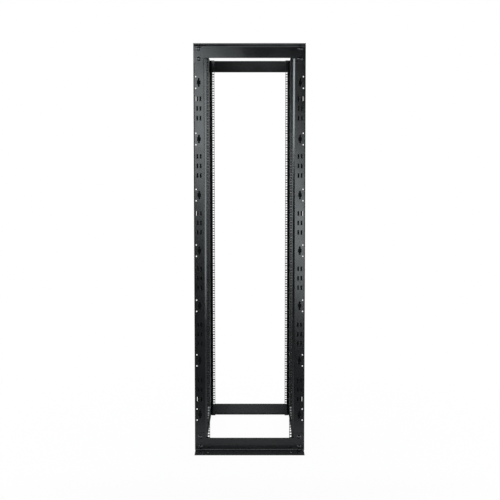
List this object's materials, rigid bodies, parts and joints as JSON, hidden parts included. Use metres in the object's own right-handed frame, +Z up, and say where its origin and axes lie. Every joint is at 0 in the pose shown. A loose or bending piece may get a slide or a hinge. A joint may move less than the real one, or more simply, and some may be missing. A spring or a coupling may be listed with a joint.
{
  "type": "four-post open frame rack",
  "caption": "Tall open frame equipment rack with square-hole corner posts, flanged base and top crossbars and side beams, for mounting standard 19-inch equipment.",
  "frame": {"origin": "floor level at the middle of the rack's footprint", "axes": "+Z up, +Y from the front to the rear, +X to the right seen from the front"},
  "size_m": [0.622, 0.914, 2.28],
  "materials": {
    "post_coat": "semi-gloss black powder coat",
    "frame_coat": "semi-gloss black powder coat"
  },
  "bodies": {
    "root": {"front_left_rail": "post_coat", "front_right_rail": "post_coat", "rear_left_rail": "post_coat", "rear_right_rail": "post_coat", "front_left_post": "post_coat", "front_right_post": "post_coat", "rear_left_post": "post_coat", "rear_right_post": "post_coat", "front_base_crossbar": "frame_coat", "front_top_crossbar": "frame_coat", "rear_base_crossbar": "frame_coat", "rear_top_crossbar": "frame_coat", "left_base_beam": "frame_coat", "left_top_beam": "frame_coat", "right_base_beam": "frame_coat", "right_top_beam": "frame_coat"}
  },
  "joints": []
}
